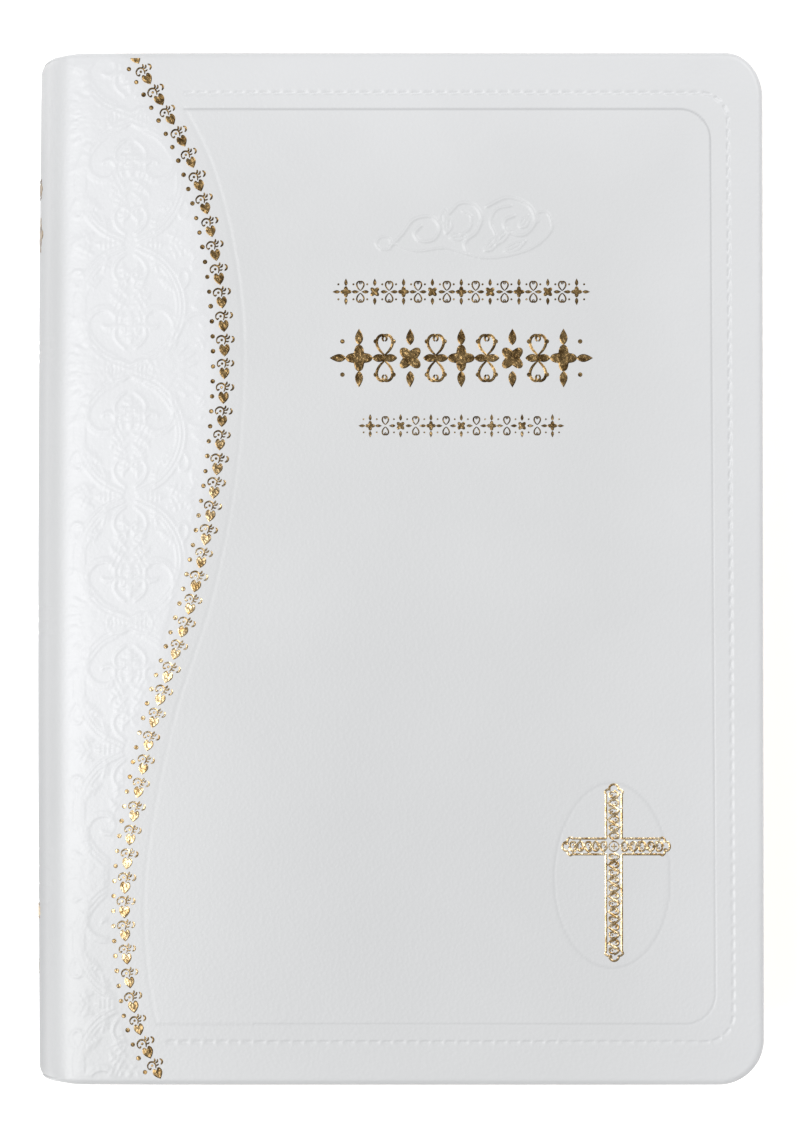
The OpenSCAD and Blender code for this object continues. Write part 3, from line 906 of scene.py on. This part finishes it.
def on_spine(u, v, lift):
    """Placing function for the spine: u is the height over mid-thickness."""
    x = SPINE_LOW[0] + SPINE_R - np.sqrt((SPINE_R + lift) ** 2 - np.asarray(u, float) ** 2)
    return np.column_stack([x + spine_draw_in(x, np.asarray(v, float)), v, MID_Z + u])


def border_tree(motif, bead):
    """Geometry nodes that set the motif and the beads along the border's two lines."""
    tree = bpy.data.node_groups.new("gold_border", "GeometryNodeTree")
    face = tree.interface
    face.new_socket("Geometry", in_out="INPUT", socket_type="NodeSocketGeometry")
    for label, kind, value in (("Heart Pitch", "NodeSocketFloat", HEART_PITCH * MM),
                               ("Bead Pitch", "NodeSocketFloat", DOT_PITCH * MM),
                               ("Bead Offset", "NodeSocketFloat", -DOT_OFFSET * MM),
                               ("Size Change", "NodeSocketFloat", 0.06),
                               ("Seed", "NodeSocketInt", 4)):
        made = face.new_socket(label, in_out="INPUT", socket_type=kind)
        made.default_value = value
    face.new_socket("Geometry", in_out="OUTPUT", socket_type="NodeSocketGeometry")
    given = add(tree, "NodeGroupInput").outputs
    shapes = []
    for piece, pitch, offset in ((motif, "Heart Pitch", None), (bead, "Bead Pitch", "Bead Offset")):
        line = given["Geometry"]
        along = add(tree, "GeometryNodeInputTangent").outputs["Tangent"]
        if offset:
            aside = add(tree, "ShaderNodeVectorMath", {0: along},
                        operation="CROSS_PRODUCT", s_1=(0, 0, 1))
            far = add(tree, "ShaderNodeVectorMath", {0: aside.outputs["Vector"], "Scale": given[offset]},
                      operation="SCALE")
            line = add(tree, "GeometryNodeSetPosition",
                       {"Geometry": line, "Offset": far.outputs["Vector"]})
            line = line.outputs["Geometry"]
        stops = add(tree, "GeometryNodeCurveToPoints",
                    {"Curve": line, "Length": given[pitch]}, mode="LENGTH")
        turn = add(tree, "FunctionNodeAlignRotationToVector", {"Vector": stops.outputs["Tangent"]},
                   axis="Y", pivot_axis="Z", s_Factor=1.0)
        size = add(tree, "FunctionNodeRandomValue", {"Seed": given["Seed"]}, data_type="FLOAT")
        low = add(tree, "ShaderNodeMath", {1: given["Size Change"]}, operation="SUBTRACT", s_0=1.0)
        high = add(tree, "ShaderNodeMath", {1: given["Size Change"]}, operation="ADD", s_0=1.0)
        tree.links.new(low.outputs["Value"], size.inputs[2])
        tree.links.new(high.outputs["Value"], size.inputs[3])
        shape = add(tree, "GeometryNodeObjectInfo")
        shape.inputs["Object"].default_value = piece
        set_out = add(tree, "GeometryNodeInstanceOnPoints", {
            "Points": stops.outputs["Points"], "Instance": shape.outputs["Geometry"],
            "Rotation": turn.outputs["Rotation"], "Scale": size.outputs[1]})
        shapes.append(set_out.outputs["Instances"])
    both = add(tree, "GeometryNodeJoinGeometry")
    for shape in shapes:
        tree.links.new(shape, both.inputs[0])
    solid = add(tree, "GeometryNodeRealizeInstances", {"Geometry": both.outputs["Geometry"]})
    dyed = add(tree, "GeometryNodeSetMaterial", {"Geometry": solid.outputs["Geometry"]})
    dyed.inputs["Material"].default_value = FOIL
    add(tree, "NodeGroupOutput", {"Geometry": dyed.outputs["Geometry"]})
    return tree


def flat_place(u, v, lift):
    """Placing function for a shape that is laid on the leather later. It undoes the hinge offset."""
    u = np.asarray(u, float)
    return np.column_stack([u - HINGE_X, v, np.full(len(u), lift)])


def build_border(relief):
    """The wavy border of hearts, curls and beads."""
    fills, strokes = motif_shapes()
    heart = FoilMesh(flat_place)
    for outline in fills:
        heart.fill(np.asarray(outline) + [0, HEART_SHIFT])
    for line, width in strokes:
        heart.stroke(np.asarray(line) + [0, HEART_SHIFT], width)
    bead = FoilMesh(flat_place)
    bead.fill(dot((0, BEAD_SHIFT), 0.46))
    motif, dots = heart.finish("border_motif"), bead.finish("border_bead")
    curve = bpy.data.curves.new("border_line", "CURVE")
    curve.dimensions = "3D"
    path = curve.splines.new("POLY")
    line = resample(spline([(x, share * HALF_H) for x, share in BORDER_KNOTS])[::-1], 0.8)
    line = np.vstack([line, line[-1] + 7 * (line[-1] - line[-2])])
    path.points.add(len(line) - 1)
    for point, (x, y) in zip(path.points, line):
        point.co = (x * MM, y * MM, 0, 1)
    base = bpy.data.objects.new("border_curve", curve)
    bpy.context.scene.collection.objects.link(base)
    tree = border_tree(motif, dots)
    modifier = base.modifiers.new("gold_border", "NODES")
    modifier.node_group = tree
    for item in tree.interface.items_tree:
        if item.in_out == "INPUT" and item.socket_type != "NodeSocketGeometry":
            modifier[item.identifier] = item.default_value
    bpy.context.view_layer.update()
    ready = base.evaluated_get(bpy.context.evaluated_depsgraph_get())
    mesh = bpy.data.meshes.new_from_object(ready)
    points = np.empty(len(mesh.vertices) * 3)
    mesh.vertices.foreach_get("co", points)
    points = points.reshape(-1, 3) / MM
    faces = [list(p.vertices) for p in mesh.polygons]
    for made in (base, motif, dots):
        bpy.data.objects.remove(made)
    points, faces = inside_cover(points, faces)
    points[:, 2] += surface_z(points[:, 0]) + relief.at(points[:, 0], points[:, 1])
    return to_mesh("gold_border", points, faces, FOIL, False)


def inside_cover(points, faces):
    """Leaves out what runs off the head or the tail of the cover."""
    limit = HALF_H - LEATHER_T / 2
    points = points.copy()
    kept = [f for f in faces if np.abs(points[f, 1]).min() < limit]
    points[:, 1] = np.clip(points[:, 1], -limit, limit)
    used = sorted({k for f in kept for k in f})
    number = {old: new for new, old in enumerate(used)}
    return points[used], [[number[k] for k in f] for f in kept]


def scroll_pair(x, y, size):
    """Two mirrored curls that spring from one point and lie left and right of it."""
    lines = []
    for side in (1, -1):
        curl = tendril((0, 0), 0.12, 2.9 * size, 0.85)
        lines.append(curl * [side, 1] + [x, y])
    return lines


def build_ornaments(relief):
    """Three rows of ornament on the panel: small, large and small."""
    foil = FoilMesh(on_leather(relief))
    x0, y0 = PANEL
    rows = ((9, 2.4, 12.5, 22.8, 0.46), (5, 5.3, -0.6, 20.2, 0.5), (7, 2.1, -14.0, 18.0, 0.46))
    for count, size, y, half, bold in rows:
        pitch = 2 * half / (count - 1)
        for i in range(count):
            x = x0 + (i - (count - 1) / 2) * pitch
            foil.fill(turned(crosslet(size * bold), 0.125 * (i % 2)) + [x, y0 + y])
            for quarter in range(4):
                petal = leaf((size * 0.48, 0), 0, size * 0.62, 0, size * 0.6 * bold)
                outline = np.vstack([petal[0], petal[1][::-1][1:-1]])
                foil.fill(turned(outline, quarter / 4) + [x, y0 + y])
                bead_at = turned([[size * 0.62, size * 0.62]], quarter / 4)[0] + [x, y0 + y]
                foil.fill(dot(bead_at, size * 0.085))
            if i < count - 1:
                for up in (1, -1):
                    for line in scroll_pair(0, 0, size * 0.5):
                        line = line * [1, up] + [x + pitch / 2, y0 + y + up * 0.1 * size]
                        foil.stroke(line, 0.09 * size + 0.1)
    return foil.finish("ornament_rows")


def cross_outline(half_bar):
    """One line round the whole cross, with a round lobe and two shoulders at each end."""
    points = []
    for turns, reach in ((0.0, CROSS_ARM + 0.9), (0.25, CROSS_UP + 0.9),
                         (0.5, CROSS_ARM), (0.75, CROSS_DOWN)):
        reach = reach - 0.8
        lobe = np.linspace(-math.pi / 2, math.pi / 2, 9)
        end = [(half_bar, -half_bar), (reach - 1.0, -half_bar), (reach - 0.55, -half_bar - 0.25),
               (reach - 0.15, -half_bar + 0.1), (reach, -half_bar + 0.75)]
        end += [(reach + 0.95 * math.cos(q), 0.95 * math.sin(q)) for q in lobe]
        end += [(x, -y) for x, y in end[4:0:-1]]
        points.append(turned(np.array(end), turns))
    points = np.vstack(points)
    return np.vstack([points, points[:1]])


def vine(foil, reach, turns):
    """A waving stem with a curl in each bend, along one limb of the cross."""
    bends = max(2, round((reach - 1.2) / 1.62))
    pitch = (reach - 1.5) / bends
    t = np.linspace(0, bends, 14 * bends)
    stem = np.column_stack([1.3 + t * pitch, 0.92 * np.sin(math.pi * t)])
    foil.stroke(turned(stem, turns) + CROSS, 0.46, 0.9)
    for k in range(bends):
        side = 1 if k % 2 == 0 else -1
        x = 1.3 + (k + 0.5) * pitch
        curl = ring((x, -0.3 * side), 0.56, 0.6, 0.3 * side, 0.85 * side, 22)
        foil.stroke(turned(curl, turns) + CROSS, 0.42)
        foil.fill(turned(dot((x - 0.05, -0.32 * side), 0.2, 8), turns) + CROSS)
        for across, angle in ((0.72, 0.06), (-0.72, -0.06)):
            petal = leaf((x + across, -0.72 * side), angle, 0.95, 0, 0.44)
            foil.fill(turned(np.vstack([petal[0], petal[1][::-1][1:-1]]), turns) + CROSS)
        foil.stroke(turned(leaf((x, 0.95 * side), 0.25 * side, 0.45, 0, 0.1)[0], turns) + CROSS, 0.34)


def build_cross(relief):
    """The cross: an outline filled with a curling vine, and a small cross at the middle."""
    foil = FoilMesh(on_leather(relief))
    foil.stroke(cross_outline(CROSS_BAR / 2 - 0.2) + CROSS, 0.44, 1.0, 0.2)
    foil.stroke(ring(CROSS, 0.98, 0.98), 0.24, 1.0)
    for turns in (0, 0.25):
        foil.stroke(turned([(-0.55, 0), (0.55, 0)], turns) + CROSS, 0.3, 1.0)
    for turns, reach in ((0.0, CROSS_ARM), (0.25, CROSS_UP),
                         (0.5, CROSS_ARM - 0.9), (0.75, CROSS_DOWN - 0.9)):
        vine(foil, reach, turns)
    return foil.finish("filigree_cross")


SPINE_FOIL = [(0.745, 4, 7.5), (0.655, 7, 8.5), (0.27, 2.4, 1.6), (-0.67, 3, 6.5), (-0.78, 3, 3)]


def build_spine_foil():
    """Rows of small ornament across the spine, where its stampings are."""
    foil = FoilMesh(on_spine)
    for share, height, half in SPINE_FOIL:
        y = share * HALF_H
        size = height / 2
        count = max(1, int(2 * half / (1.35 * size)))
        for i in range(count):
            u = (i - (count - 1) / 2) * 2 * half / max(count, 1)
            reach = min(size, half)
            foil.fill(turned(crosslet(reach * 0.8), 0.125 * (i % 2)) + [u, y])
            for up in (1, -1):
                foil.fill(dot((u, y + up * reach * 0.85), 0.16 * reach, 10))
    return foil.finish("spine_ornaments")


# ------------------------------------------------------------------ pages

PAGE_FOLD_R = 24.03     # round of the spine side and of the fore-edge
PAGE_CORNER_R = 6.0
PAGE_W = 131.5
HALF_PAGE = 98.0
FOLD_CENTRE_X = SPINE_LOW[0] + SPINE_R


def fold_x(z):
    """Where a leaf at height z leaves the fold."""
    return FOLD_CENTRE_X - np.sqrt(PAGE_FOLD_R ** 2 - (np.asarray(z) - MID_Z) ** 2)


def leaf_block(name, z_low, z_high, x_low, material, half=HALF_PAGE):
    """A pack of leaves: faces above and below, edges round it, the fore-edge following the block."""
    levels = [z_low, z_high]
    run = np.concatenate([np.linspace(0, 16, 27), np.linspace(16, PAGE_W - PAGE_CORNER_R, 9)[1:],
                          PAGE_W - PAGE_CORNER_R + PAGE_CORNER_R * np.linspace(0, 1, 7)[1:]])
    straight = half - PAGE_CORNER_R
    rise = straight + PAGE_CORNER_R * np.linspace(0, 1, 7)
    across = np.concatenate([-rise[::-1], np.linspace(-straight, straight, 8)[1:-1], rise])
    sheets = []
    for z in levels:
        start = max(x_low, float(fold_x(z)))
        end = float(fold_x(z)) + PAGE_W
        x = start + run / PAGE_W * (end - start)
        gx, gy = np.meshgrid(x, across, indexing="ij")
        a = np.clip((gx - (end - PAGE_CORNER_R)) / PAGE_CORNER_R, 0, 1)
        b = np.clip((np.abs(gy) - straight) / PAGE_CORNER_R, 0, 1)
        gx = np.where(a > 0, end - PAGE_CORNER_R + PAGE_CORNER_R * a * np.sqrt(1 - b * b / 2), gx)
        gy = np.where(b > 0, np.sign(gy) * (straight + PAGE_CORNER_R * b * np.sqrt(1 - a * a / 2)), gy)
        sheets.append(np.stack([gx, gy, np.full(gx.shape, z)], 2))
    ni, nj = sheets[0].shape[:2]
    low = np.arange(ni * nj).reshape(ni, nj)
    high = low + ni * nj
    faces = [np.stack([low[:-1, :-1], low[:-1, 1:], low[1:, 1:], low[1:, :-1]], 2).reshape(-1, 4),
             np.stack([high[:-1, :-1], high[1:, :-1], high[1:, 1:], high[:-1, 1:]], 2).reshape(-1, 4)]
    flat_count = sum(len(f) for f in faces)
    loop = ([(i, 0) for i in range(ni)] + [(ni - 1, j) for j in range(1, nj)]
            + [(i, nj - 1) for i in range(ni - 2, -1, -1)] + [(0, j) for j in range(nj - 2, 0, -1)])
    ii, jj = np.array(loop).T
    a, b = low[ii, jj], high[ii, jj]
    faces.append(np.stack([a, np.roll(a, -1), np.roll(b, -1), b], 1))
    points = np.vstack([s.reshape(-1, 3) for s in sheets])
    made = to_mesh(name, points, np.vstack(faces), material, False)
    layer = made.data.attributes.new("edge", "FLOAT", "FACE")
    values = np.zeros(len(made.data.polygons), np.float32)
    values[flat_count:] = 1
    layer.data.foreach_set("value", values)
    return made


def bend_at_gutter(piece):
    """Bakes a piece's placement into its mesh."""
    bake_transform(piece)


def build_pages():
    """The sections of leaves. Those that turn with a cover have their placement baked into their mesh;
    the rest go on the root body.
    """
    turning = {name for pair in JOINTS.values() for name in (pair["parent"], pair["child"])}
    for number in range(1, 25):
        node = "section_%02d" % number
        low, high = cad_box(node)
        moves = node in turning
        z_low, z_high = low[2], high[2]
        x_low = max(float(fold_x(z_low)), float(fold_x(z_high)), 0.1) if moves else -9
        piece = leaf_block("pages_%02d" % number, z_low, z_high, x_low, PAGES)
        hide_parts(node)
        if moves:
            bend_at_gutter(piece)
        else:
            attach(piece, "root")


def build_flyleaves():
    """The first and last free leaf, each with its placement baked into its mesh."""
    for node in ("front_flyleaf", "rear_flyleaf"):
        low, high = cad_box(node)
        piece = leaf_block(node + "_sheet", low[2], high[2], low[0], ENDPAPER)
        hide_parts(node)
        bend_at_gutter(piece)


def build_joint_papers():
    """Strips of endpaper that run from the gutter up to the paste-down inside each cover."""
    for cover, leaf_node, paste_node in (("front_cover", "front_flyleaf", "front_pastedown"),
                                         ("back_cover", "rear_flyleaf", "back_pastedown")):
        leaf_low, leaf_high = cad_box(leaf_node)
        paste_low, paste_high = cad_box(paste_node)
        if cover == "front_cover":
            z_start, z_end = leaf_high[2] + 0.02, paste_low[2] - 0.02
        else:
            z_start, z_end = leaf_low[2] - 0.02, paste_high[2] + 0.02
        t = np.linspace(0, 1, 24)
        x = leaf_low[0] + (paste_low[0] + 7 - leaf_low[0]) * t
        z = z_start + (z_end - z_start) * smooth(t * 1.6)
        y = np.linspace(-HALF_PAGE, HALF_PAGE, 16)
        grid = np.stack([np.repeat(x[:, None], 16, 1), np.repeat(y[None, :], 24, 0),
                         np.repeat(z[:, None], 16, 1)], 2).reshape(-1, 3)
        points, faces = two_sided(grid - [0, 0, 0.05], grid, 24, 16)
        piece = to_mesh(cover + "_joint_paper", points, faces, ENDPAPER)
        bend_at_gutter(piece)


# ------------------------------------------------------------------ putting it together

DETAIL = 1.0


def build_covers():
    """The leather of both covers and the spine, and the relief that the foil follows."""
    wave = Relief(-1, WAVE_STRIP_END + 0.5, -HALF_H, HALF_H, 0.12)
    draw_blind_line(wave)
    draw_frame_lines(wave)
    plain = Relief(WAVE_STRIP_END - 4, COVER_W, -HALF_H, HALF_H, 0.12)
    draw_frame_lines(plain)
    draw_blind_line(plain)
    draw_oval(plain)
    draw_flourish(plain)
    shaped = damask()
    shaped.down = wave.down[:shaped.down.shape[0], :shaped.down.shape[1]]
    shaped.tone = wave.tone[:shaped.tone.shape[0], :shaped.tone.shape[1]]
    run_shoulder = run_at_x(SHOULDER_END)
    run_wave, run_centre = run_at_x(WAVE_STRIP_END), run_at_x(CENTRE_STRIP_END)
    run_ornament, run_frame = run_at_x(ORNAMENT_STRIP_END), run_at_x(COVER_W - 12.0)
    run_end = PATH_RUN[-1] - LEATHER_T / 2
    d = DETAIL
    framed = ((-94.6, -89.2, 0.2 * d), (89.8, 95.2, 0.2 * d))
    pieces = [
        shell("front_leather_wave",
              steps([(0, 0.9), (9, 0.4 * d), (run_shoulder, 0.29 * d), (run_wave, 0)]),
              0.33 * d, shaped, True, LEATHER),
        shell("front_leather_centre", steps([(run_wave, 0.4 * d), (run_centre, 0)]),
              0.42 * d, plain, True, LEATHER, framed),
        shell("front_leather_ornament", steps([(run_centre, 0.26 * d), (run_ornament, 0)]),
              0.42 * d, plain, True, LEATHER, framed + ((61.0, 75.0, 0.22 * d),)),
        shell("front_leather_edge",
              steps([(run_ornament, 0.42 * d), (run_frame, 0.2 * d), (run_frame + 6.5, 0.4 * d),
                     (run_end, 0)]),
              0.36 * d, plain, True, LEATHER, framed),
        shell("back_leather", steps([(0, 0.9), (9, 0.5), (run_shoulder, 1.4), (run_end, 0)]),
              1.2, None, False, LEATHER),
    ]
    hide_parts("front_skin", "spine_skin")
    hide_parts("back_skin")
    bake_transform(pieces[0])
    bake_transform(pieces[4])
    for piece in pieces[1:4]:
        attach(piece, "front_cover")
    return shaped, plain


def build_foil(shaped, plain):
    """The four stampings, each in place of its CAD node."""
    border = build_border(shaped)
    rows = build_ornaments(plain)
    cross = build_cross(plain)
    marks = build_spine_foil()
    for piece, node, body in ((border, "foil_border", "front_cover"),
                              (rows, "foil_ornaments", "front_cover"),
                              (cross, "foil_cross", "front_cover"), (marks, "foil_spine", "root")):
        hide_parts(node)
        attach(piece, body)


def build_spine_stiffener():
    """The flexible strip inside the spine's leather, drawn in at its ends like the leather."""
    u = np.linspace(-13.4, 13.4, 30)
    v = np.linspace(-HALF_H + 4, HALF_H - 4, 30)
    layers = []
    for inset in (1.5, 1.0):
        x = SPINE_LOW[0] + SPINE_R - np.sqrt((SPINE_R - inset) ** 2 - u ** 2)
        gx, gv = np.meshgrid(x, v, indexing="ij")
        gu = np.repeat(u[:, None], len(v), 1)
        layers.append(np.stack([gx + spine_draw_in(gx - inset, gv), gv, MID_Z + gu], 2).reshape(-1, 3))
    points, faces = two_sided(layers[0], layers[1], len(u), len(v))
    piece = to_mesh("spine_stiffener", points, faces, BOARD)
    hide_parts("spine_inlay")
    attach(piece, "root")


def band_thread():
    """Silk wound round the headband and tailband in two alternating tones."""
    material, tree, shader = new_material("silk_band_thread", Roughness=0.45, Sheen_Weight=0.3)
    place = add(tree, "ShaderNodeTexCoord").outputs["Object"]
    turns = add(tree, "ShaderNodeTexWave", {"Vector": place}, wave_type="BANDS",
                bands_direction="Z", s_Scale=per_mm(BAND_TURN) * 0.314)
    tree.links.new(two_tones(tree, turns.outputs["Fac"], "#CDB98C", "#F4EFE2"),
                   shader.inputs["Base Color"])
    bump = add(tree, "ShaderNodeBump", {"Height": turns.outputs["Fac"]},
               s_Strength=0.6, s_Distance=0.0002)
    tree.links.new(bump.outputs["Normal"], shader.inputs["Normal"])
    return material


BAND = band_thread()
CARRIED = {
    "front_board": BOARD, "back_board": BOARD,
    "front_pastedown": ENDPAPER, "back_pastedown": ENDPAPER,
    "mull": GAUZE, "spine_lining": LINING, "sewing_thread": THREAD,
    "headband": BAND, "tailband": BAND,
}


def dress_carried_pieces():
    """Puts a procedural material on each CAD node that is still shown."""
    for name, material in CARRIED.items():
        mesh = frame["nodes"][name].data
        mesh.materials.clear()
        mesh.materials.append(material)


relief_by_spine, relief_plain = build_covers()
build_foil(relief_by_spine, relief_plain)
build_pages()
build_flyleaves()
build_joint_papers()
build_spine_stiffener()
dress_carried_pieces()

# ------------------------------------------------------------------ floor, light and camera

def stage_floor():
    """A pale paper floor just under the book."""
    material, _, shader = new_material("pale_paper_floor", Roughness=0.9)
    shader.inputs["Base Color"].default_value = srgb("#FAFAFA")
    shader.inputs["Emission Color"].default_value = srgb("#FFFFFF")
    shader.inputs["Emission Strength"].default_value = 0.42
    sheet = bmesh.new()
    corners = [sheet.verts.new((3 * x, 3 * y, -0.0002)) for x, y in ((-1, -1), (1, -1), (1, 1), (-1, 1))]
    sheet.faces.new(corners)
    mesh = bpy.data.meshes.new("floor")
    sheet.to_mesh(mesh)
    sheet.free()
    mesh.materials.append(material)
    floor = bpy.data.objects.new("floor", mesh)
    bpy.context.scene.collection.objects.link(floor)


def softbox(name, place, size, power, aim=(0, 0, 0.03)):
    """A large rectangular soft light that looks at the book."""
    light = bpy.data.lights.new(name, "AREA")
    light.shape = "RECTANGLE"
    light.size, light.size_y = size
    light.energy = power
    lamp = bpy.data.objects.new(name, light)
    bpy.context.scene.collection.objects.link(lamp)
    lamp.location = place
    lamp.rotation_euler = (Vector(aim) - Vector(place)).to_track_quat("-Z", "Y").to_euler()


def lighting():
    """A soft white room, a key on the spine side, and a fill from the head and fore-edge side."""
    world = bpy.data.worlds.new("soft_room")
    bpy.context.scene.world = world
    world.use_nodes = True
    world.node_tree.nodes["Background"].inputs["Color"].default_value = srgb("#FFFFFF")
    world.node_tree.nodes["Background"].inputs["Strength"].default_value = 0.35
    softbox("key_softbox", (-0.72, -0.2, 1.3), (0.7, 0.9), 15.2)
    softbox("fill_softbox", (0.62, 0.66, 0.95), (0.6, 0.6), 7.2)
    bpy.context.scene.view_settings.view_transform = "Standard"


def camera():
    """Almost straight above the cover, a little towards the tail."""
    distance, lens, lean = 0.85, 136.35, math.radians(1.2)
    target = Vector((0.0005, -0.0002, TOP_Z * MM))
    data = bpy.data.cameras.new("camera")
    data.sensor_width = 36
    data.lens = lens
    data.clip_end = 20
    made = bpy.data.objects.new("camera", data)
    bpy.context.scene.collection.objects.link(made)
    made.location = target + Vector((0, -math.sin(lean), math.cos(lean))) * distance
    made.rotation_euler = (lean, 0, 0)
    bpy.context.scene.camera = made


stage_floor()
lighting()
camera()
